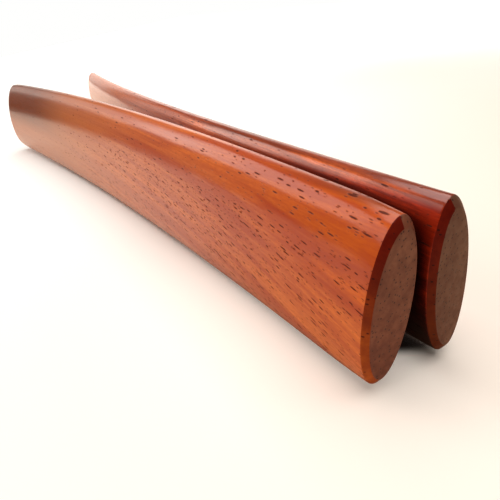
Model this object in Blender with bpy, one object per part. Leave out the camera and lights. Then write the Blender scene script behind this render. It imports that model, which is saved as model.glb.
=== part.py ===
"""Pair of wooden rhythm bones, standing on their long narrow edges.

Each bone is one solid piece of wood: an oval section swept along a shallow bow, a little
narrower towards both ends, with flat bevelled ends. The bones stand bow to bow, lean on each
other, nearly touch nearer to the +X ends, and are splayed apart at the -X ends, where a
finger goes between them.

Metres, +Z up. X runs along the pair, and the plane Y = 0 lies midway between the bones.
"""
import bmesh
import bpy
from math import asin, cos, hypot, pi, radians, sin
from mathutils import Matrix, Vector

# One bone
BONE_LENGTH = 0.176       # along the bow, over the flat ends
MIDDLE_WIDTH = 0.0254     # height of the section at the middle of the bone
END_WIDTH = 0.0235        # height of the section at the ends
THICKNESS = 0.0079        # through the section, face to face
BOW_RADIUS = 0.875        # radius of the bow, to the middle of the thickness

# The bevel round each flat end
BEVEL_LENGTH = 0.0008     # along the bone
BEVEL_AT_EDGES = 0.0013   # taken off the top and bottom edges
BEVEL_AT_FACES = 0.0007   # taken off the two broad faces

# How the pair stands
LEAN = radians(6.4)       # each bone's top leans towards the other bone
SPLAY = radians(3.73)     # each bone turns this much from the X axis
REST_GAP = 0.0003         # clearance left where the bones lean on each other
STAGGER = 0.0008          # the striking bone stands this far nearer to +X

# The striking bone swings about the finger between the splayed ends
FINGER_FROM_END = 0.030   # from the pair's -X end to the middle of the finger

# How finely the surface is cut
SECTION_SIDES = 40
LENGTH_STEPS = 28

# Padauk: base colour, roughness
WOOD_COLOUR = (0.42, 0.085, 0.028, 1.0)
WOOD_ROUGHNESS = 0.28


def clear_scene():
    for obj in list(bpy.data.objects):
        bpy.data.objects.remove(obj, do_unlink=True)


def width_at(share):
    """Section height where share is 0 at the middle and 1 at either end."""
    return MIDDLE_WIDTH - (MIDDLE_WIDTH - END_WIDTH) * share ** 2


def half_spacing():
    """Half the distance between the middles of the bones, so that they lean on each other.

    The bow is nearest to the plane Y = 0 where it runs along X, which is SPLAY along the bow.
    """
    nearest = min(1.0, BOW_RADIUS * SPLAY / (BONE_LENGTH / 2))
    reach = hypot(THICKNESS / 2 * cos(LEAN), width_at(nearest) / 2 * sin(LEAN))
    return BOW_RADIUS * (1 - cos(SPLAY)) + reach + REST_GAP / 2


def add_end(bm, cap):
    """Step the end face out by the bevel's length and draw it in by the bevel's width."""
    outward = cap.normal.copy()
    centre = cap.calc_center_median()
    half_height = max(v.co.z for v in cap.verts)
    grown = bmesh.ops.extrude_face_region(bm, geom=[cap])["geom"]
    rim = [g for g in grown if isinstance(g, bmesh.types.BMVert)]
    bmesh.ops.delete(bm, geom=[cap], context="FACES_ONLY")
    across = Vector((0, 0, 1)).cross(outward)
    for vert in rim:
        offset = vert.co - centre
        sideways = offset.dot(across) * (1 - 2 * BEVEL_AT_FACES / THICKNESS)
        upwards = offset.z * (1 - BEVEL_AT_EDGES / half_height)
        vert.co = centre + outward * BEVEL_LENGTH + across * sideways
        vert.co.z = upwards


def bone_mesh(bow_side):
    """A bone about its own middle, bulging towards +Y for bow_side 1 and -Y for -1."""
    half_turn = (BONE_LENGTH / 2 - BEVEL_LENGTH) / BOW_RADIUS
    bm = bmesh.new()

    # The oval section, stood up across the bone, at the -X end of the bow
    bmesh.ops.create_circle(bm, cap_ends=False, segments=SECTION_SIDES, radius=1.0)
    oval = Matrix.Diagonal((THICKNESS / 2, MIDDLE_WIDTH / 2, 1.0, 1.0))
    stand = Matrix(((0, 0, 1, 0), (1, 0, 0, 0), (0, 1, 0, 0), (0, 0, 0, 1)))
    bow_centre = Vector((0, -BOW_RADIUS, 0))
    swing = Matrix.Translation(bow_centre) @ Matrix.Rotation(half_turn, 4, "Z")
    bmesh.ops.transform(bm, matrix=swing @ Matrix.Translation(-bow_centre) @ stand @ oval,
                        verts=bm.verts)

    # Swept along the bow to the +X end
    bmesh.ops.spin(bm, geom=bm.verts[:] + bm.edges[:], cent=bow_centre, axis=(0, 0, 1),
                   angle=-2 * half_turn, steps=LENGTH_STEPS, use_duplicate=False)

    # A little narrower towards both ends
    for vert in bm.verts:
        from_centre = (vert.co - bow_centre).normalized()
        share = abs(asin(from_centre.x)) / half_turn
        vert.co.z *= width_at(share) / MIDDLE_WIDTH

    # Flat ends, each with its bevel
    caps = bmesh.ops.holes_fill(bm, edges=bm.edges[:], sides=0)["faces"]
    bmesh.ops.recalc_face_normals(bm, faces=bm.faces)
    for cap in caps:
        add_end(bm, cap)
    bmesh.ops.recalc_face_normals(bm, faces=bm.faces)

    if bow_side < 0:
        bmesh.ops.rotate(bm, cent=(0, 0, 0), matrix=Matrix.Rotation(pi, 3, "Z"), verts=bm.verts)
    return bm


def stand_bone(bm, bow_side):
    """Lean the bone over its bow, stand it on Z = 0, splay it and set it beside the plane Y = 0."""
    lean = Matrix.Rotation(-LEAN * bow_side, 4, "X")
    bmesh.ops.transform(bm, matrix=lean, verts=bm.verts)
    lowest = min(v.co.z for v in bm.verts)
    splay = Matrix.Rotation(SPLAY * bow_side, 4, "Z")
    place = Matrix.Translation((-bow_side * STAGGER / 2, -bow_side * half_spacing(), -lowest))
    bmesh.ops.transform(bm, matrix=place @ splay, verts=bm.verts)


def wood(name):
    material = bpy.data.materials.new(name)
    material.use_nodes = True
    surface = material.node_tree.nodes["Principled BSDF"]
    surface.inputs["Base Color"].default_value = WOOD_COLOUR
    surface.inputs["Roughness"].default_value = WOOD_ROUGHNESS
    surface.inputs["Metallic"].default_value = 0.0
    return material


def add_bone(name, bm, origin):
    """Turn the finished mesh into an object whose origin is at the given point."""
    bmesh.ops.translate(bm, vec=-origin, verts=bm.verts)
    mesh = bpy.data.meshes.new(name)
    bm.to_mesh(mesh)
    bm.free()
    mesh.shade_smooth()
    mesh.set_sharp_from_angle(angle=radians(30))
    mesh.materials.append(wood(name + "_wood"))
    obj = bpy.data.objects.new(name, mesh)
    obj.location = origin
    bpy.context.scene.collection.objects.link(obj)


def main():
    clear_scene()
    anchor = bone_mesh(1)
    stand_bone(anchor, 1)
    striking = bone_mesh(-1)
    stand_bone(striking, -1)

    # Centre the pair along X, then swing the striking bone about the finger
    reach = [v.co.x for v in anchor.verts] + [v.co.x for v in striking.verts]
    middle = (min(reach) + max(reach)) / 2
    for bm in (anchor, striking):
        bmesh.ops.translate(bm, vec=(-middle, 0, 0), verts=bm.verts)
    finger = Vector((min(reach) - middle + FINGER_FROM_END, 0, 0))

    add_bone("anchor_bone", anchor, Vector((0, 0, 0)))
    add_bone("striking_bone", striking, finger)


main()
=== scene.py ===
from math import asin, atan2, cos, hypot, pi, radians, sin

import bmesh
import bpy
from mathutils import Matrix, Vector


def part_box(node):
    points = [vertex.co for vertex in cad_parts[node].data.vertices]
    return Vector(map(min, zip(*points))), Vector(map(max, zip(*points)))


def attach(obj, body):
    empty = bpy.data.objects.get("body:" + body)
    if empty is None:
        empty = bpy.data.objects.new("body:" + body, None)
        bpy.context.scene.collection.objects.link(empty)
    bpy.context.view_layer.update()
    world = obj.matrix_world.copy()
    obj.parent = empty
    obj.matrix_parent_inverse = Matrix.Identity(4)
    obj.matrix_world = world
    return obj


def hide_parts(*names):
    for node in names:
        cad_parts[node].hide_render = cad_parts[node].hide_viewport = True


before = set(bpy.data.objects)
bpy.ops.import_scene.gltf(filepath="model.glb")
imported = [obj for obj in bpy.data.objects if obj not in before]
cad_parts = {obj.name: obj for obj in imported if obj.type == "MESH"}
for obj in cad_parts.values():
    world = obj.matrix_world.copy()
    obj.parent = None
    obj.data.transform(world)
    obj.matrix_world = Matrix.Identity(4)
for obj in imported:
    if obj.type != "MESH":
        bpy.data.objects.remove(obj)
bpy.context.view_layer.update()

# The shape both bones share, in metres. It is the CAD part's, but for the soft corners of the bevels and for
# the front bone's ends, which are worn a little narrower
bone = {
    "length": 0.176,          # along the bow, over the flat ends
    "middleWidth": 0.0254,    # height of the section at the middle
    "endWidth": 0.0235,       # height of the section at the ends
    "thickness": 0.0079,      # through the section, face to face
    "bowRadius": 0.875,
    "bevelLength": 0.0008,    # along the bone
    "bevelAtEdges": 0.0013,   # taken off the top and bottom edges
    "bevelAtFaces": 0.0007,   # taken off the two broad faces
    "lean": radians(6.4),
    "splay": radians(3.73),
    "sides": 112,
    "steps": 120,
    "softEdge": 0.00016,
    "softSteps": 3,
    "wornFrom": 0.90,         # share of the half length where the wear starts
    "tipFrom": 0.991,         # the nearer to 1, the narrower the bevel's tips
    "mergeWithin": 1e-7,
    "sharpFrom": radians(40),
}


# Node helpers
def addNode(tree, kind, **settings):
    made = tree.nodes.new(kind)
    for key, value in settings.items():
        setattr(made, key, value)
    return made


def feed(tree, target, socket, value):
    if isinstance(value, bpy.types.NodeSocket):
        tree.links.new(value, target.inputs[socket])
    else:
        target.inputs[socket].default_value = value


def feedAll(tree, target, values):
    for socket, value in values.items():
        feed(tree, target, socket, value)


def math(tree, operation, first, second=0.0):
    made = addNode(tree, "ShaderNodeMath", operation=operation)
    feedAll(tree, made, {0: first, 1: second})
    return made.outputs[0]


def product(tree, *factors):
    total = factors[0]
    for factor in factors[1:]:
        total = math(tree, "MULTIPLY", total, factor)
    return total


def inverse(tree, share):
    return math(tree, "SUBTRACT", 1.0, share)


def ramp(tree, value, low, high, toLow=0.0, toHigh=1.0, kind="SMOOTHSTEP"):
    made = addNode(tree, "ShaderNodeMapRange", interpolation_type=kind)
    feedAll(tree, made, {"Value": value, "From Min": low, "From Max": high})
    feedAll(tree, made, {"To Min": toLow, "To Max": toHigh})
    return made.outputs["Result"]


def vectorMath(tree, operation, first, second, output="Vector"):
    made = addNode(tree, "ShaderNodeVectorMath", operation=operation)
    feedAll(tree, made, {0: first, 1: second})
    return made.outputs[output]


def along(tree, place, direction):
    return vectorMath(tree, "DOT_PRODUCT", place, direction, "Value")


def separate(tree, place):
    made = addNode(tree, "ShaderNodeSeparateXYZ")
    feed(tree, made, "Vector", place)
    return made.outputs["X"], made.outputs["Y"], made.outputs["Z"]


def mixColour(tree, share, first, second, blend="MIX"):
    made = addNode(tree, "ShaderNodeMix", data_type="RGBA", blend_type=blend)
    feedAll(tree, made, {0: share, 6: first, 7: second})
    return made.outputs[2]


def mixNumber(tree, share, first, second):
    made = addNode(tree, "ShaderNodeMix", data_type="FLOAT")
    feedAll(tree, made, {0: share, 2: first, 3: second})
    return made.outputs[0]


def mixShader(tree, share, first, second):
    made = addNode(tree, "ShaderNodeMixShader")
    feedAll(tree, made, {0: share, 1: first, 2: second})
    return made.outputs[0]


def tinted(tree, share, colour, tint):
    return mixColour(tree, share, colour, mixColour(tree, 1.0, colour, tint, "MULTIPLY"))


def noise(tree, place, scale, detail=3.0, rough=0.5, shift=0.0):
    made = addNode(tree, "ShaderNodeTexNoise", noise_dimensions="4D")
    feedAll(tree, made, {"Vector": place, "Scale": scale, "Detail": detail, "Roughness": rough, "W": shift})
    return made.outputs["Fac"]


def stretched(tree, place, stretch, turn):
    made = addNode(tree, "ShaderNodeMapping", vector_type="TEXTURE")
    feedAll(tree, made, {"Vector": place, "Rotation": (0.0, 0.0, turn), "Scale": (stretch, 1.0, 1.0)})
    return made.outputs["Vector"]


def woodNoise(tree, place, turn, shift, kind):
    level = stretched(tree, place, kind["stretch"], turn)
    return noise(tree, level, kind["scale"], kind["detail"], kind["rough"], shift + kind["shift"])


def bumped(tree, height, distance, strength):
    made = addNode(tree, "ShaderNodeBump")
    feedAll(tree, made, {"Height": height, "Distance": distance, "Strength": strength})
    return made


def newGroup(name, inputs, outputs):
    tree = bpy.data.node_groups.new(name, "ShaderNodeTree")
    for label, kind, value in inputs:
        socket = tree.interface.new_socket(label, in_out="INPUT", socket_type=kind)
        if value is not None:
            socket.default_value = value
    for label, kind in outputs:
        tree.interface.new_socket(label, in_out="OUTPUT", socket_type=kind)
    return tree, tree.nodes.new("NodeGroupInput"), tree.nodes.new("NodeGroupOutput")


def useGroup(tree, group, **values):
    made = addNode(tree, "ShaderNodeGroup", node_tree=group)
    feedAll(tree, made, values)
    return made


def newMaterial(name):
    made = bpy.data.materials.new(name)
    made.use_nodes = True
    tree = made.node_tree
    place = addNode(tree, "ShaderNodeTexCoord").outputs["Object"]
    return made, tree, tree.nodes["Principled BSDF"], place


# Vessels of the wood: dashes where they break the surface, dots where they are cut across
pore = {
    "squeeze": 0.34,         # a cell is about three times as long as it is wide
    "lengths": (0.45, 1.3),  # shortest and longest dash, as shares of the length asked for
    "edge": (0.45, 1.3),     # a dash fades out over these squares of its size
}


def makePores():
    number = "NodeSocketFloat"
    inputs = [("Place", "NodeSocketVector", None), ("Shift", number, 0.0), ("Scale", number, 850.0),
              ("Length", number, 0.0008), ("Width", number, 0.00014), ("Depth", number, 0.0003),
              ("Amount", number, 0.6), ("Angle", number, -0.12)]
    tree, start, end = newGroup("Pores", inputs, [("Mask", number)])
    thin = vectorMath(tree, "MULTIPLY", start.outputs["Place"], (pore["squeeze"], 1.0, 1.0))
    moved = vectorMath(tree, "ADD", thin, start.outputs["Shift"])
    cells = addNode(tree, "ShaderNodeTexVoronoi", voronoi_dimensions="3D", feature="F1")
    feedAll(tree, cells, {"Vector": moved, "Scale": start.outputs["Scale"]})
    away = vectorMath(tree, "SUBTRACT", moved, cells.outputs["Position"])
    squeezed, aside, up = separate(tree, away)
    picked = addNode(tree, "ShaderNodeSeparateColor")
    feed(tree, picked, "Color", cells.outputs["Color"])
    run = math(tree, "DIVIDE", squeezed, pore["squeeze"])
    cosine = math(tree, "COSINE", start.outputs["Angle"])
    sine = math(tree, "SINE", start.outputs["Angle"])
    alongDash = math(tree, "ADD", product(tree, run, cosine), product(tree, up, sine))
    acrossDash = math(tree, "SUBTRACT", product(tree, up, cosine), product(tree, run, sine))
    reach = ramp(tree, picked.outputs["Green"], 0.0, 1.0, *pore["lengths"], "LINEAR")
    total = None
    for offset, size in ((alongDash, product(tree, start.outputs["Length"], reach)),
                         (acrossDash, start.outputs["Width"]),
                         (aside, start.outputs["Depth"])):
        share = math(tree, "DIVIDE", offset, size)
        square = product(tree, share, share)
        total = square if total is None else math(tree, "ADD", total, square)
    shown = math(tree, "LESS_THAN", picked.outputs["Red"], start.outputs["Amount"])
    inside = ramp(tree, total, *pore["edge"], 1.0, 0.0)
    feed(tree, end, "Mask", product(tree, inside, shown))
    return tree


# Long streaks, broad bands and fibres, each a noise that is stretched along the grain
grainKinds = {
    "Streak": {"stretch": 16.0, "scale": 330.0, "detail": 3.0, "rough": 0.55, "shift": 0.0},
    "Band": {"stretch": 7.0, "scale": 90.0, "detail": 2.0, "rough": 0.55, "shift": 4.0},
    "Fibre": {"stretch": 45.0, "scale": 2200.0, "detail": 2.0, "rough": 0.55, "shift": 9.0},
}


def makeGrain():
    tree, start, end = newGroup(
        "Grain",
        [("Place", "NodeSocketVector", None), ("Shift", "NodeSocketFloat", 0.0)],
        [(label, "NodeSocketFloat") for label in grainKinds])
    for label, kind in grainKinds.items():
        level = stretched(tree, start.outputs["Place"], kind["stretch"], 0.0)
        shift = math(tree, "ADD", start.outputs["Shift"], kind["shift"])
        feed(tree, end, label, noise(tree, level, kind["scale"], kind["detail"], kind["rough"], shift))
    return tree


poreGroup = makePores()
grainGroup = makeGrain()


# How open a place is to its surroundings, and a colour darkened with painted shade where it is shut in
closenessSamples = 8


def openness(tree, distance):
    near = addNode(tree, "ShaderNodeAmbientOcclusion", samples=closenessSamples)
    feed(tree, near, "Distance", distance)
    return near.outputs["AO"]


def shaded(tree, colour, shadeTint, distance, closed, opened, share=1.0):
    shut = product(tree, ramp(tree, openness(tree, distance), closed, opened, 1.0, 0.0), share)
    return tinted(tree, shut, colour, shadeTint)


# The lacquered sides of the front bone. Colours are light, mid and dark wood, then tints for places, most of
# them painted light and shade
sideLook = {
    "light": (0.72, 0.160, 0.018, 1.0),
    "mid": (0.58, 0.130, 0.032, 1.0),
    "dark": (0.38, 0.045, 0.016, 1.0),
    "fibre": (0.38, 0.045, 0.009, 1.0),
    "fibres": 0.28,                        # how strongly the fibres show
    # tint of the splayed end: darker on the front bone, and on the rear bone a painted pale reflection
    "far": (0.72, 0.84, 1.0, 1.0),         # tint of the splayed end
    "farX": (-0.05, 0.03),
    # painted shade near the end at +X, darker and redder: over the upper part on the front bone, below the
    # top on the rear bone
    "near": (0.93, 0.72, 0.25, 1.0),       # tint of the upper part near the end at +X
    "nearZ": (0.010, 0.017),
    # painted shade on the topmost line
    "top": (0.50, 0.50, 0.60, 1.0),        # tint of the topmost line
    "topX": (0.055, 0.085),
    # painted highlight on the strip below the top line; white leaves it unchanged
    "highlightBelt": (1.0, 1.0, 1.0, 1.0),          # tint of the strip below that line
    "duskColour": (0.13, 0.021, 0.003, 1.0),
    "dusk": 0.85,                          # how strongly the splayed end darkens upwards
    "pore": (0.08, 0.014, 0.007, 1.0),
    "poreScale": 1200.0,
    "fewPores": 0.55,
    "manyPores": 1.0,
    "fan": 16.0,                           # how fast the grain turns with height
    "tilt": -0.20,                         # slope of the grain at the middle of the height
    "ripple": 0.00012,
    "rough": 0.45,
    "shine": 0.08,
    "coat": 0.95,
    "coatNear": 0.75,
    "coatRough": 0.16,
    "coatIndex": 1.5,
    "lowCoat": 1.0,                        # share of the coat on the lower part near the end at +X
    # painted shade: the tint of what faces the other bone or the floor, where it is shut in
    "shade": (0.35, 0.25, 0.2, 1.0),       # tint of what faces the other bone or the floor
    "shadeFar": (0.6, 0.5, 0.5, 1.0),
    "closed": 0.10,
    "open": 0.45,
}

# The rear bone's colours are darker and redder, and its painted light and shade differ
rearLook = dict(
    sideLook,
    light=(0.52, 0.070, 0.011, 1.0),
    mid=(0.42, 0.046, 0.009, 1.0),
    dark=(0.15, 0.012, 0.003, 1.0),
    fibre=(0.15, 0.014, 0.005, 1.0),
    fibres=0.6,
    # painted pale reflection at the splayed end
    far=(1.7, 2.8, 2.0, 1.0),
    farX=(-0.05, 0.060),
    # painted shade below the top near the end at +X
    near=(0.90, 0.42, 0.3, 1.0),
    nearZ=(0.0242, 0.0232),
    top=(0.72, 0.80, 0.85, 1.0),
    topX=(0.02, 0.05),
    # painted highlight on the strip below the top
    highlightBelt=(1.8, 2.5, 2.2, 1.0),
    dusk=0.0,
    fewPores=0.15,
    manyPores=0.6,
    coatIndex=1.7,
    lowCoat=0.05,
    shade=(0.03, 0.008, 0.02, 1.0),
    shadeFar=(0.7, 0.55, 0.5, 1.0),
    closed=0.30,
    open=0.68,
)

# Where the look of a side changes, along the bone in X and up it in Z
sideZones = {
    "fanX": (-0.06, 0.08),
    "clearX": (-0.05, 0.05),
    "crownZ": (0.0241, 0.0248),
    "beltFromZ": (0.0228, 0.0238),
    "beltToZ": (0.0248, 0.0243),
    "beltFromX": (0.015, 0.035),
    "beltToX": (0.086, 0.066),
    "nearX": (0.04, 0.08),
    "duskX": (-0.065, -0.025),
    "duskZ": (0.010, 0.016),
    "poresX": (-0.06, 0.05),
    "poresZ": (0.016, 0.020),
    "closeX": (0.02, 0.075),
    "lowCoatZ": (0.0230, 0.0242),
}

# The figure of the wood. Each pair is where a noise starts and stops to count
figure = {
    "middleHeight": 0.0125,
    "farLean": 0.35,         # share of the grain's slope that the dashes keep at the far end
    "farClear": 0.15,        # share of the figure that is left there
    "streak": (0.40, 0.62),
    "band": (0.38, 0.62),
    "fibre": (0.36, 0.64),
    "calm": 0.5,
    "streaks": 0.75,
    "dapple": (0.42, 0.62),
    "dapples": 0.22,
    "crowd": (0.36, 0.60),
    "farPores": (0.1, 1.15),
    "highPores": (1.0, 0.4),
    "specks": 0.7,
    "pores": 0.9,
    "speckScale": 2300.0,
    "speckShift": 3.0,
}
dappleNoise = {"stretch": 2.5, "scale": 2600.0, "detail": 2.0, "rough": 0.6, "shift": 11.0}
crowdNoise = {"stretch": 4.0, "scale": 110.0, "detail": 2.0, "rough": 0.5, "shift": 2.0}
rippleNoise = {"stretch": 3.0, "scale": 170.0, "detail": 2.0, "rough": 0.5, "shift": 7.0}
dashSize = {"Length": 0.00072, "Width": 0.00011, "Depth": 0.00032}
speckSize = {"Length": 0.00030, "Width": 0.00007, "Depth": 0.00015}

# The lacquer over it
finish = {
    "shadeWithin": 0.020,
    "fibreRange": (0.2, 0.8),
    "smoother": 0.04,
    "rougher": 0.05,
    "poreRough": 0.3,
    "poreCoat": 0.15,
    "bump": 0.35,
    "bumpDepth": 0.00006,
    "fibreBump": 0.08,
}


def zone(tree, value, name, low=0.0, high=1.0):
    return ramp(tree, value, *sideZones[name], low, high)


# Slope of the grain, and its place with that slope taken out: it fans out from the middle of the height
def fannedPlace(tree, level, look):
    x, y, z = separate(tree, level)
    height = math(tree, "SUBTRACT", z, figure["middleHeight"])
    slope = math(tree, "ADD", product(tree, height, look["fan"]), look["tilt"])
    back = math(tree, "SUBTRACT", x, bone["length"] / 2)
    fanned = addNode(tree, "ShaderNodeCombineXYZ")
    feedAll(tree, fanned, {"X": x, "Y": y, "Z": math(tree, "SUBTRACT", z, product(tree, back, slope))})
    return slope, fanned.outputs["Vector"]


def figuredColour(tree, x, grain, fibre, look):
    clear = zone(tree, x, "clearX", figure["farClear"], 1.0)
    streak = ramp(tree, grain.outputs["Streak"], *figure["streak"])
    band = ramp(tree, grain.outputs["Band"], *figure["band"])
    calm = product(tree, inverse(tree, clear), figure["calm"])
    band = math(tree, "ADD", product(tree, band, clear), calm)
    colour = mixColour(tree, band, look["mid"], look["light"])
    colour = mixColour(tree, product(tree, streak, clear, figure["streaks"]), colour, look["dark"])
    return mixColour(tree, product(tree, fibre, clear, look["fibres"]), colour, look["fibre"])


# Tints by place: painted shade on the top line and near the end at +X, a painted highlight on the belt, a
# tint of the splayed end that on the rear bone is a painted reflection, and a darkening upwards at the
# splayed end
def tintedPlaces(tree, x, z, colour, look):
    far = ramp(tree, x, *look["farX"], 1.0, 0.0)
    crown = product(tree, zone(tree, z, "crownZ"), ramp(tree, x, *look["topX"]))
    highlightBelt = product(tree, zone(tree, z, "beltFromZ"), zone(tree, z, "beltToZ"),
                   zone(tree, x, "beltFromX"), zone(tree, x, "beltToX"))
    near = product(tree, ramp(tree, z, *look["nearZ"]), zone(tree, x, "nearX"))
    for share, tint in ((far, "far"), (crown, "top"), (highlightBelt, "highlightBelt"), (near, "near")):
        colour = tinted(tree, share, colour, look[tint])
    dusk = product(tree, zone(tree, x, "duskX", look["dusk"], 0.0), zone(tree, z, "duskZ"))
    return mixColour(tree, dusk, colour, look["duskColour"])


def sidePores(tree, x, z, level, slope, crowd, shift, look):
    amount = product(tree, ramp(tree, crowd, *figure["crowd"], look["fewPores"], look["manyPores"]),
                     zone(tree, x, "poresX", *figure["farPores"]),
                     zone(tree, z, "poresZ", *figure["highPores"]))
    angle = product(tree, slope, zone(tree, x, "fanX", figure["farLean"], 1.0))
    dashes = useGroup(tree, poreGroup, Place=level, Shift=shift, Scale=look["poreScale"],
                      Amount=amount, Angle=angle, **dashSize)
    specks = useGroup(tree, poreGroup, Place=level, Shift=shift + figure["speckShift"],
                      Scale=figure["speckScale"], Amount=amount, Angle=angle, **speckSize)
    faint = product(tree, specks.outputs["Mask"], figure["specks"])
    return math(tree, "MAXIMUM", dashes.outputs["Mask"], faint)


def addLacquer(tree, surface, z, closeUp, pores, look):
    overPores = ramp(tree, pores, 0.0, 1.0, 1.0, finish["poreCoat"])
    overNear = ramp(tree, closeUp, 0.0, 1.0, look["coat"], look["coatNear"])
    overLow = mixNumber(tree, closeUp, 1.0, zone(tree, z, "lowCoatZ", look["lowCoat"], 1.0))
    feedAll(tree, surface, {
        "Specular IOR Level": look["shine"],
        "Coat Weight": product(tree, overPores, overNear, overLow),
        "Coat Roughness": look["coatRough"],
        "Coat IOR": look["coatIndex"],
    })


def makeSide(name, turn, shift, look):
    made, tree, surface, place = newMaterial(name)
    level = stretched(tree, place, 1.0, turn)
    x, _, z = separate(tree, level)
    slope, fanned = fannedPlace(tree, level, look)
    grain = useGroup(tree, grainGroup, Place=fanned, Shift=shift)
    fibre = ramp(tree, grain.outputs["Fibre"], *figure["fibre"])
    colour = figuredColour(tree, x, grain, fibre, look)
    colour = tintedPlaces(tree, x, z, colour, look)
    dapple = ramp(tree, woodNoise(tree, place, turn, shift, dappleNoise), *figure["dapple"])
    colour = mixColour(tree, product(tree, dapple, figure["dapples"]), colour, look["dark"])
    crowd = woodNoise(tree, place, turn, shift, crowdNoise)
    pores = sidePores(tree, x, z, level, slope, crowd, shift, look)
    colour = mixColour(tree, product(tree, pores, figure["pores"]), colour, look["pore"])
    # Painted shade where the side faces the other bone or the floor
    closeUp = zone(tree, x, "closeX")
    shadeTint = mixColour(tree, closeUp, look["shadeFar"], look["shade"])
    colour = shaded(tree, colour, shadeTint, finish["shadeWithin"], look["closed"], look["open"])
    feed(tree, surface, "Base Color", colour)
    smooth, coarse = look["rough"] - finish["smoother"], look["rough"] + finish["rougher"]
    rough = ramp(tree, grain.outputs["Fibre"], *finish["fibreRange"], smooth, coarse)
    feed(tree, surface, "Roughness", math(tree, "ADD", rough, product(tree, pores, finish["poreRough"])))
    waves = bumped(tree, woodNoise(tree, place, turn, shift, rippleNoise), look["ripple"], 1.0)
    relief = math(tree, "SUBTRACT", product(tree, fibre, finish["fibreBump"]), pores)
    bump = bumped(tree, relief, finish["bumpDepth"], finish["bump"])
    feed(tree, bump, "Normal", waves.outputs["Normal"])
    feedAll(tree, surface, {"Normal": bump.outputs["Normal"], "Coat Normal": bump.outputs["Normal"]})
    addLacquer(tree, surface, z, closeUp, pores, look)
    return made


# Flat ends and their bevels: the vessels are cut across, and the colour changes with height, on the bevels
# as painted light and shade
bevelLook = {
    "light": (0.27, 0.024, 0.004, 1.0),
    "dark": (0.17, 0.012, 0.003, 1.0),
    "mottle": (0.12, 0.008, 0.003, 1.0),
    # towards the bottom: painted light on the front bone's bevel
    "low": (1.65, 3.6, 2.4, 1.0),
    # painted shade towards the top
    "high": (0.55, 0.4, 0.6, 1.0),
    "pore": (0.02, 0.005, 0.004, 1.0),
    "poreScale": 1250.0,
    "poreSize": 0.00013,
    "pores": 0.4,
    "rough": 0.42,
    "shine": 0.05,
    "shade": (0.5, 0.4, 0.4, 1.0),
}
endLook = {
    "light": (0.215, 0.065, 0.030, 1.0),
    "dark": (0.150, 0.036, 0.016, 1.0),
    "mottle": (0.080, 0.018, 0.009, 1.0),
    "low": (0.98, 0.80, 0.70, 1.0),
    "high": (1.0, 1.05, 1.0, 1.0),
    "pore": (0.02, 0.004, 0.004, 1.0),
    "poreScale": 1350.0,
    "poreSize": 0.00014,
    "pores": 0.7,
    "rough": 0.5,
    "shine": 0.35,
    "shade": (0.8, 0.8, 0.8, 1.0),
}
# On the rear bone the bevel's lower part is darker, as painted shade between the bones
rearBevelLook = dict(bevelLook, low=(0.60, 1.1, 0.7, 1.0))
rearEndLook = dict(endLook, light=(0.150, 0.057, 0.030, 1.0), dark=(0.110, 0.036, 0.019, 1.0))

# What flat ends and bevels share
endGrain = {
    "mottleScale": 900.0,
    "mottleDetail": 3.0,
    "mottleRough": 0.6,
    "mottleShift": 1.0,
    "streak": (0.3, 0.7),
    "mottle": (0.40, 0.62),
    "mottles": 0.35,
    "heights": (0.004, 0.022),
    "poreLength": 0.0017,
    "poreShift": 5.0,
    "poreDark": 0.8,
    "shadeWithin": 0.016,
    "closed": 0.12,
    "open": 0.55,
    "mottleRange": (0.3, 0.7),
    "uneven": 0.06,
    "mottleBump": 0.3,
    "bump": 0.3,
    "bumpDepth": 0.00005,
}


def makeEnd(name, turn, shift, look):
    made, tree, surface, place = newMaterial(name)
    level = stretched(tree, place, 1.0, turn)
    height = along(tree, place, (0.0, 0.0, 1.0))
    grain = useGroup(tree, grainGroup, Place=level, Shift=shift)
    mottle = noise(tree, place, endGrain["mottleScale"], endGrain["mottleDetail"], endGrain["mottleRough"],
                   shift + endGrain["mottleShift"])
    streak = ramp(tree, grain.outputs["Streak"], *endGrain["streak"])
    colour = mixColour(tree, streak, look["light"], look["dark"])
    mottles = product(tree, ramp(tree, mottle, *endGrain["mottle"]), endGrain["mottles"])
    colour = mixColour(tree, mottles, colour, look["mottle"])
    tint = mixColour(tree, ramp(tree, height, *endGrain["heights"]), look["low"], look["high"])
    colour = mixColour(tree, 1.0, colour, tint, "MULTIPLY")
    pores = useGroup(tree, poreGroup, Place=level, Shift=shift + endGrain["poreShift"],
                     Scale=look["poreScale"], Amount=look["pores"], Length=endGrain["poreLength"],
                     Width=look["poreSize"], Depth=look["poreSize"], Angle=0.0).outputs["Mask"]
    colour = mixColour(tree, product(tree, pores, endGrain["poreDark"]), colour, look["pore"])
    colour = shaded(tree, colour, look["shade"],
                    endGrain["shadeWithin"], endGrain["closed"], endGrain["open"])
    smooth, coarse = look["rough"] - endGrain["uneven"], look["rough"] + endGrain["uneven"]
    relief = math(tree, "SUBTRACT", product(tree, mottle, endGrain["mottleBump"]), pores)
    bump = bumped(tree, relief, endGrain["bumpDepth"], endGrain["bump"])
    feedAll(tree, surface, {
        "Base Color": colour,
        "Roughness": ramp(tree, mottle, *endGrain["mottleRange"], smooth, coarse),
        "Normal": bump.outputs["Normal"],
        "Specular IOR Level": look["shine"],
    })
    return made


# Material slots of a bone's mesh
slots = {"side": 0, "bevel": 1, "end": 2}


# Height of the section where share is 0 at the middle and 1 at either end
def widthAt(share, worn):
    wear = max(0.0, (share - bone["wornFrom"]) / (1 - bone["wornFrom"]))
    return bone["middleWidth"] - (bone["middleWidth"] - bone["endWidth"]) * share ** 2 - worn * wear ** 2


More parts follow.
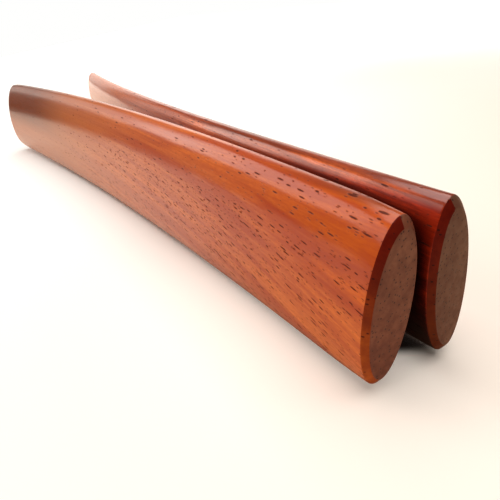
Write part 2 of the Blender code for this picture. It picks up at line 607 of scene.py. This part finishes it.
# The end face, stepped out by the bevel's length and drawn in by its width
def addEnd(bm, cap):
    outward = cap.normal.copy()
    centre = cap.calc_center_median()
    halfHeight = max(vert.co.z for vert in cap.verts)
    grown = bmesh.ops.extrude_face_region(bm, geom=[cap])["geom"]
    rim = [part for part in grown if isinstance(part, bmesh.types.BMVert)]
    bmesh.ops.delete(bm, geom=[cap], context="FACES_ONLY")
    across = Vector((0, 0, 1)).cross(outward)
    for vert in rim:
        offset = vert.co - centre
        sideways = offset.dot(across) * (1 - 2 * bone["bevelAtFaces"] / bone["thickness"])
        upwards = offset.z * (1 - bone["bevelAtEdges"] / halfHeight)
        vert.co = centre + outward * bone["bevelLength"] + across * sideways
        vert.co.z = upwards
    for part in grown:
        if isinstance(part, bmesh.types.BMFace):
            part.material_index = slots["end"]
    for vert in rim:
        for face in vert.link_faces:
            if face.material_index == slots["side"]:
                face.material_index = slots["bevel"]


# The oval section, swept along the bow and narrowed towards the ends
def sweepSection(bm, bowCentre, halfTurn, worn):
    bmesh.ops.create_circle(bm, cap_ends=False, segments=bone["sides"], radius=1.0)
    oval = Matrix.Diagonal((bone["thickness"] / 2, bone["middleWidth"] / 2, 1.0, 1.0))
    stand = Matrix(((0, 0, 1, 0), (1, 0, 0, 0), (0, 1, 0, 0), (0, 0, 0, 1)))
    swing = Matrix.Translation(bowCentre) @ Matrix.Rotation(halfTurn, 4, "Z")
    place = swing @ Matrix.Translation(-bowCentre)
    bmesh.ops.transform(bm, matrix=place @ stand @ oval, verts=bm.verts)
    bmesh.ops.spin(bm, geom=bm.verts[:] + bm.edges[:], cent=bowCentre, axis=(0, 0, 1),
                   angle=-2 * halfTurn, steps=bone["steps"], use_duplicate=False)
    for vert in bm.verts:
        fromCentre = (vert.co - bowCentre).normalized()
        share = abs(asin(fromCentre.x)) / halfTurn
        vert.co.z *= widthAt(share, worn) / bone["middleWidth"]


def softenCorners(bm):
    corners = [edge for edge in bm.edges if len(edge.link_faces) == 2
               and edge.link_faces[0].material_index != edge.link_faces[1].material_index]
    bmesh.ops.bevel(bm, geom=corners, offset=bone["softEdge"], offset_type="OFFSET", affect="EDGES",
                    segments=bone["softSteps"], profile=0.5, material=-1)
    bmesh.ops.remove_doubles(bm, verts=bm.verts, dist=bone["mergeWithin"])


# The bevel's tips look like the flat end, and so does its half that faces +Y, as a painted reflection of the
# bright surroundings on that side
def markEndGrainAndReflection(bm, bowCentre, side):
    for face in bm.faces:
        middle = face.calc_center_median()
        high = middle.z / bone["endWidth"]
        wide = ((middle - bowCentre).xy.length - bone["bowRadius"]) / bone["thickness"]
        atTip = abs(high) > bone["tipFrom"] * hypot(high, wide)
        if face.material_index == slots["bevel"] and (atTip or wide * side > 0):
            face.material_index = slots["end"]


# One bone about its own middle, bulging to +Y for side 1 and to -Y for side -1
def makeBone(side, worn):
    halfTurn = (bone["length"] / 2 - bone["bevelLength"]) / bone["bowRadius"]
    bowCentre = Vector((0, -bone["bowRadius"], 0))
    bm = bmesh.new()
    sweepSection(bm, bowCentre, halfTurn, worn)
    caps = bmesh.ops.holes_fill(bm, edges=bm.edges[:], sides=0)["faces"]
    bmesh.ops.recalc_face_normals(bm, faces=bm.faces)
    for cap in caps:
        addEnd(bm, cap)
    bmesh.ops.recalc_face_normals(bm, faces=bm.faces)
    softenCorners(bm)
    bmesh.ops.recalc_face_normals(bm, faces=bm.faces)
    markEndGrainAndReflection(bm, bowCentre, side)
    if side < 0:
        bmesh.ops.rotate(bm, cent=(0, 0, 0), matrix=Matrix.Rotation(pi, 3, "Z"), verts=bm.verts)
    turn = Matrix.Rotation(bone["splay"] * side, 4, "Z") @ Matrix.Rotation(-bone["lean"] * side, 4, "X")
    bmesh.ops.transform(bm, matrix=turn, verts=bm.verts)
    return bm


def addMesh(name, bm, materials):
    mesh = bpy.data.meshes.new(name)
    bm.to_mesh(mesh)
    bm.free()
    for material in materials:
        mesh.materials.append(material)
    obj = bpy.data.objects.new(name, mesh)
    bpy.context.scene.collection.objects.link(obj)
    return obj


# Each bone is set in the middle of its CAD node's box
def placeBone(bm, node, materials, look):
    low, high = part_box(node)
    own = [[vert.co[i] for vert in bm.verts] for i in range(3)]
    shift = Vector([(low[i] + high[i] - min(own[i]) - max(own[i])) / 2 for i in range(3)])
    bmesh.ops.translate(bm, vec=shift, verts=bm.verts)
    obj = addMesh(look["name"], bm, materials)
    obj.data.shade_smooth()
    obj.data.set_sharp_from_angle(angle=bone["sharpFrom"])
    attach(obj, look["body"])
    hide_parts(node)


# The two bones: "worn" is what the ends have lost in height, and "shift" picks another piece of the grain
anchorLook = {
    "name": "anchorBone",
    "body": "anchor",
    "side": 1,
    "worn": 0.0007,
    "shift": 0.0,
    "wood": sideLook,
    "bevel": bevelLook,
    "end": endLook,
}
strikerLook = {
    "name": "strikingBone",
    "body": "striker",
    "side": -1,
    "worn": 0.0,
    "shift": 0.7,
    "wood": rearLook,
    "bevel": rearBevelLook,
    "end": rearEndLook,
}
for node, look in (("anchor_bone", anchorLook), ("striking_bone", strikerLook)):
    turn = bone["splay"] * look["side"]
    label = look["name"]
    materials = [makeSide(label + "Side", turn, look["shift"], look["wood"]),
                 makeEnd(label + "Bevel", turn, look["shift"], look["bevel"]),
                 makeEnd(label + "End", turn, look["shift"], look["end"])]
    placeBone(makeBone(look["side"], look["worn"]), node, materials, look)
    print(label, "made")


# White paper under the pair, turned to the view; the room beyond its left edge is dark. Its colour is
# painted darker and warmer towards the camera and towards the right, as painted shade
paper = {
    "turn": radians(147),
    "left": 0.34,
    "right": -2.5,
    "near": -0.6,
    "far": 3.0,
    "farColour": (0.96, 0.96, 0.94, 1.0),
    # painted shade: darker and warmer towards the camera
    "nearColour": (0.95, 0.865, 0.785, 1.0),
    "nearX": (-0.06, 0.1),
    # painted shade towards the right
    "aside": (0.92, 0.84, 0.78, 1.0),         # tint towards the right
    "asideFrom": (0.0, 0.15),
    "tooth": (0.8, 0.78, 0.75, 1.0),
    "teeth": 0.04,
    "toothScale": 700.0,
    "toothBump": 0.05,
    "toothDepth": 0.0001,
    "rough": 0.8,
    "shine": 0.2,
    # painted reflection: a warmer colour that only the lacquer's reflections see
    "inLacquer": (0.90, 0.76, 0.64, 1.0),     # what the lacquer mirrors of it, far and near
    "inLacquerNear": (0.70, 0.42, 0.25, 1.0),
    "inLacquerX": (0.02, 0.08),
    "farGlow": (1.0, 0.99, 0.97, 1.0),
    "nearGlow": (1.0, 0.90, 0.80, 1.0),
    "glowFrom": (0.15, 0.55),                 # how far behind the pair the paper starts to glow
}

# Painted shade darkens the floor between the near ends, and beside the front bone a painted fill light that
# only the camera sees stands in for light back from the wood
gapFloor = {
    "shade": (0.04, 0.02, 0.015, 1.0),
    "within": 0.030,
    "fromY": (-0.006, -0.001),
    "toY": (0.010, 0.0075),
    "fromX": (0.045, 0.075),
    "behind": (-0.0702, -0.0674),
    "underRearY": (0.003, 0.006),
    "closed": (0.36, 0.44),                   # midway between the bones, and under the rear bone
    "open": (0.56, 0.66),
    "paintedFill": 0.33,
    "bounceY": (0.007, 0.001),
    "bounceX": (0.02, 0.07),
}


# How much a place on the floor lies between the near ends, and the floor's colour with painted shade there
def shadedFloor(tree, x, y, behind, colour):
    between = product(tree, ramp(tree, y, *gapFloor["fromY"]), ramp(tree, y, *gapFloor["toY"]),
                      ramp(tree, behind, *gapFloor["behind"]), ramp(tree, x, *gapFloor["fromX"]))
    under = ramp(tree, y, *gapFloor["underRearY"])
    closed = mixNumber(tree, under, *gapFloor["closed"])
    opened = mixNumber(tree, under, *gapFloor["open"])
    return between, shaded(tree, colour, gapFloor["shade"], gapFloor["within"], closed, opened, between)


# Light the paper gives off though it is no lamp: a glow far behind the pair, and painted fill light beside
# the front bone that only the camera sees
def paperGlow(tree, x, y, behind, between, rays):
    glow = product(tree, ramp(tree, behind, *paper["glowFrom"]),
                   inverse(tree, rays.outputs["Is Diffuse Ray"]))
    beside = product(tree, ramp(tree, y, *gapFloor["bounceY"]),
                     ramp(tree, between, 0.0, 1.0, gapFloor["paintedFill"], 0.0))
    paintedFill = product(tree, inverse(tree, openness(tree, gapFloor["within"])), beside,
                     ramp(tree, x, *gapFloor["bounceX"]), rays.outputs["Is Camera Ray"])
    return math(tree, "ADD", glow, paintedFill)


def makePaper():
    made, tree, surface, place = newMaterial("paper")
    x, y, _ = separate(tree, place)
    behind = along(tree, place, (cos(paper["turn"]), sin(paper["turn"]), 0.0))
    aside = along(tree, place, (sin(paper["turn"]), -cos(paper["turn"]), 0.0))
    toward = ramp(tree, x, *paper["nearX"])
    tooth = noise(tree, place, paper["toothScale"])
    colour = mixColour(tree, toward, paper["farColour"], paper["nearColour"])
    colour = tinted(tree, ramp(tree, aside, *paper["asideFrom"]), colour, paper["aside"])
    colour = mixColour(tree, product(tree, tooth, paper["teeth"]), colour, paper["tooth"])
    between, colour = shadedFloor(tree, x, y, behind, colour)
    rays = addNode(tree, "ShaderNodeLightPath")
    nearer = ramp(tree, x, *paper["inLacquerX"])
    mirrored = mixColour(tree, nearer, paper["inLacquer"], paper["inLacquerNear"])
    bump = bumped(tree, tooth, paper["toothDepth"], paper["toothBump"])
    feedAll(tree, surface, {
        "Base Color": mixColour(tree, rays.outputs["Is Glossy Ray"], colour, mirrored),
        "Roughness": paper["rough"],
        "Specular IOR Level": paper["shine"],
        "Emission Color": mixColour(tree, toward, paper["farGlow"], paper["nearGlow"]),
        "Emission Strength": paperGlow(tree, x, y, behind, between, rays),
        "Normal": bump.outputs["Normal"],
    })
    bm = bmesh.new()
    bmesh.ops.create_grid(bm, x_segments=2, y_segments=2, size=0.5)
    for vert in bm.verts:
        vert.co.x = (paper["near"] + paper["far"]) / 2 + vert.co.x * (paper["far"] - paper["near"])
        vert.co.y = (paper["left"] + paper["right"]) / 2 + vert.co.y * (paper["left"] - paper["right"])
    bmesh.ops.rotate(bm, cent=(0, 0, 0), matrix=Matrix.Rotation(paper["turn"], 3, "Z"), verts=bm.verts)
    addMesh("paper", bm, [made])


makePaper()

# Upright cards round the pair that show only in the lacquer: a low dark board past the paper's left edge, a
# white sweep behind the pair, and a dimmer corner beside it
cards = {
    "board": {
        "radius": 0.46,
        "from": radians(200),
        "to": radians(238),
        "height": 0.035,
        "glow": 0.0,
        "colour": (0.02, 0.014, 0.01, 1.0),
        "second": (0.04, 0.03, 0.02, 1.0),
    },
    "sweep": {
        "radius": 1.3,
        "from": radians(112),
        "to": radians(187),
        "height": 0.45,
        "glow": 0.50,
        "colour": (0.9, 0.9, 0.88, 1.0),
        "second": (0.85, 0.85, 0.83, 1.0),
    },
    "corner": {
        "radius": 1.28,
        "from": radians(188),
        "to": radians(202),
        "height": 0.26,
        "glow": 0.4,
        "colour": (0.5, 0.45, 0.4, 1.0),
        "second": (0.45, 0.4, 0.36, 1.0),
    },
}
cardFinish = {"weaveScale": 400.0, "rough": 0.9, "glow": (1.0, 0.97, 0.90, 1.0), "sides": 144}


def cardMaterial(name, look):
    made, tree, surface, place = newMaterial(name)
    weave = noise(tree, place, cardFinish["weaveScale"])
    rays = addNode(tree, "ShaderNodeLightPath")
    feedAll(tree, surface, {
        "Base Color": mixColour(tree, weave, look["colour"], look["second"]),
        "Roughness": cardFinish["rough"],
        "Emission Color": cardFinish["glow"],
        "Emission Strength": ramp(tree, rays.outputs["Is Diffuse Ray"], 0.0, 1.0, look["glow"], 0.0),
    })
    clear = addNode(tree, "ShaderNodeBsdfTransparent")
    blend = mixShader(tree, rays.outputs["Is Camera Ray"], surface.outputs[0], clear.outputs[0])
    feed(tree, tree.nodes["Material Output"], "Surface", blend)
    return made


def makeCard(name, look):
    bm = bmesh.new()
    bmesh.ops.create_circle(bm, cap_ends=False, segments=cardFinish["sides"], radius=look["radius"])
    beyond = []
    for vert in bm.verts:
        bearing = atan2(vert.co.y, vert.co.x) % (2 * pi)
        if not look["from"] <= bearing <= look["to"]:
            beyond.append(vert)
    bmesh.ops.delete(bm, geom=beyond, context="VERTS")
    grown = bmesh.ops.extrude_edge_only(bm, edges=bm.edges[:])["geom"]
    raised = [part for part in grown if isinstance(part, bmesh.types.BMVert)]
    bmesh.ops.translate(bm, vec=(0.0, 0.0, look["height"]), verts=raised)
    addMesh(name, bm, [cardMaterial(name, look)])


for name, look in cards.items():
    makeCard(name, look)
print("paper and cards made")


# Lamps: "aim" is the point each one faces, and power is in watts
pairMiddle = (0.0, 0.0, 0.012)
lamps = {
    "window": {
        "place": (-0.716, -0.502, 0.49),
        "aim": pairMiddle,
        "size": (0.52, 0.42),
        "power": 2.1,
        "colour": (1.0, 0.90, 0.82),
        "roll": radians(20),
    },
    "windowEdge": {
        "place": (-0.909, -0.295, 0.292),
        "aim": pairMiddle,
        "size": (0.26, 0.22),
        "power": 0.13,
        "colour": (1.0, 0.90, 0.82),
        "roll": 0.0,
    },
    "rim": {
        "place": (-0.725, 0.430, 0.54),
        "aim": pairMiddle,
        "size": (0.5, 0.3),
        "power": 0.42,
        "colour": (1.0, 0.90, 0.80),
        "roll": 0.0,
    },
    "ceiling": {
        "place": (0.05, 0.08, 0.95),
        "aim": (0.05, 0.08, 0.0),
        "size": (1.2, 1.2),
        "power": 13.0,
        "colour": (1.0, 0.985, 0.96),
        "roll": 0.0,
    },
    "backWindow": {
        "place": (-0.76, 0.44, 0.38),
        "aim": (0.0, 0.0, 0.02),
        "size": (0.75, 0.2),
        "power": 0.7,
        "colour": (1.0, 0.95, 0.9),
        "roll": 0.0,
    },
    "leftFill": {
        "place": (-0.25, -0.95, 0.65),
        "aim": (-0.03, 0.0, 0.0),
        "size": (0.8, 0.5),
        "power": 2.4,
        "colour": (1.0, 0.95, 0.90),
        "roll": 0.0,
    },
}


def addLamp(name, look):
    lamp = bpy.data.lights.new(name, "AREA")
    lamp.shape = "RECTANGLE"
    lamp.size, lamp.size_y = look["size"]
    lamp.energy = look["power"]
    lamp.color = look["colour"]
    obj = bpy.data.objects.new(name, lamp)
    obj.location = look["place"]
    facing = (Vector(look["aim"]) - Vector(look["place"])).to_track_quat("-Z", "Y").to_matrix()
    obj.rotation_euler = (facing @ Matrix.Rotation(look["roll"], 3, "Z")).to_euler()
    bpy.context.scene.collection.objects.link(obj)


for name, look in lamps.items():
    addLamp(name, look)


# A dim warm room round everything, which the camera sees as white
surround = {
    "colour": (1.0, 0.88, 0.74, 1.0),
    "onWood": 0.12,
    "inLacquer": 0.09,
    "seen": (1.0, 1.0, 0.99, 1.0),
}


def makeSurround():
    world = bpy.data.worlds.new("surround")
    bpy.context.scene.world = world
    world.use_nodes = True
    tree = world.node_tree
    rays = addNode(tree, "ShaderNodeLightPath")
    backing = tree.nodes["Background"]
    strength = ramp(tree, rays.outputs["Is Glossy Ray"], 0.0, 1.0, surround["onWood"], surround["inLacquer"])
    feedAll(tree, backing, {"Color": surround["colour"], "Strength": strength})
    white = addNode(tree, "ShaderNodeBackground")
    feedAll(tree, white, {"Color": surround["seen"], "Strength": 1.0})
    blend = mixShader(tree, rays.outputs["Is Camera Ray"], backing.outputs[0], white.outputs[0])
    feed(tree, tree.nodes["World Output"], "Surface", blend)


makeSurround()

# Camera, fitted to the outlines in the photograph
view = {
    "place": (0.11438, -0.03989, 0.04517),
    "yaw": radians(148.45),
    "pitch": radians(-28.76),
    "roll": radians(-4.93),
    "lens": 32.4,
    "sensor": 36.0,
    "nearest": 0.005,
    "farthest": 50.0,
}


def addCamera():
    level = cos(view["pitch"])
    ahead = Vector((level * cos(view["yaw"]), level * sin(view["yaw"]), sin(view["pitch"])))
    right = ahead.cross(Vector((0, 0, 1))).normalized()
    up = right.cross(ahead)
    tiltedRight = right * cos(view["roll"]) + up * sin(view["roll"])
    tiltedUp = -right * sin(view["roll"]) + up * cos(view["roll"])
    data = bpy.data.cameras.new("camera")
    data.lens = view["lens"]
    data.sensor_width = view["sensor"]
    data.clip_start = view["nearest"]
    data.clip_end = view["farthest"]
    facing = Matrix((tiltedRight, tiltedUp, -ahead)).transposed().to_4x4()
    obj = bpy.data.objects.new("camera", data)
    obj.matrix_world = Matrix.Translation(view["place"]) @ facing
    bpy.context.scene.collection.objects.link(obj)
    bpy.context.scene.camera = obj


addCamera()
bpy.context.scene.view_settings.view_transform = "Standard"
print("light and camera made")
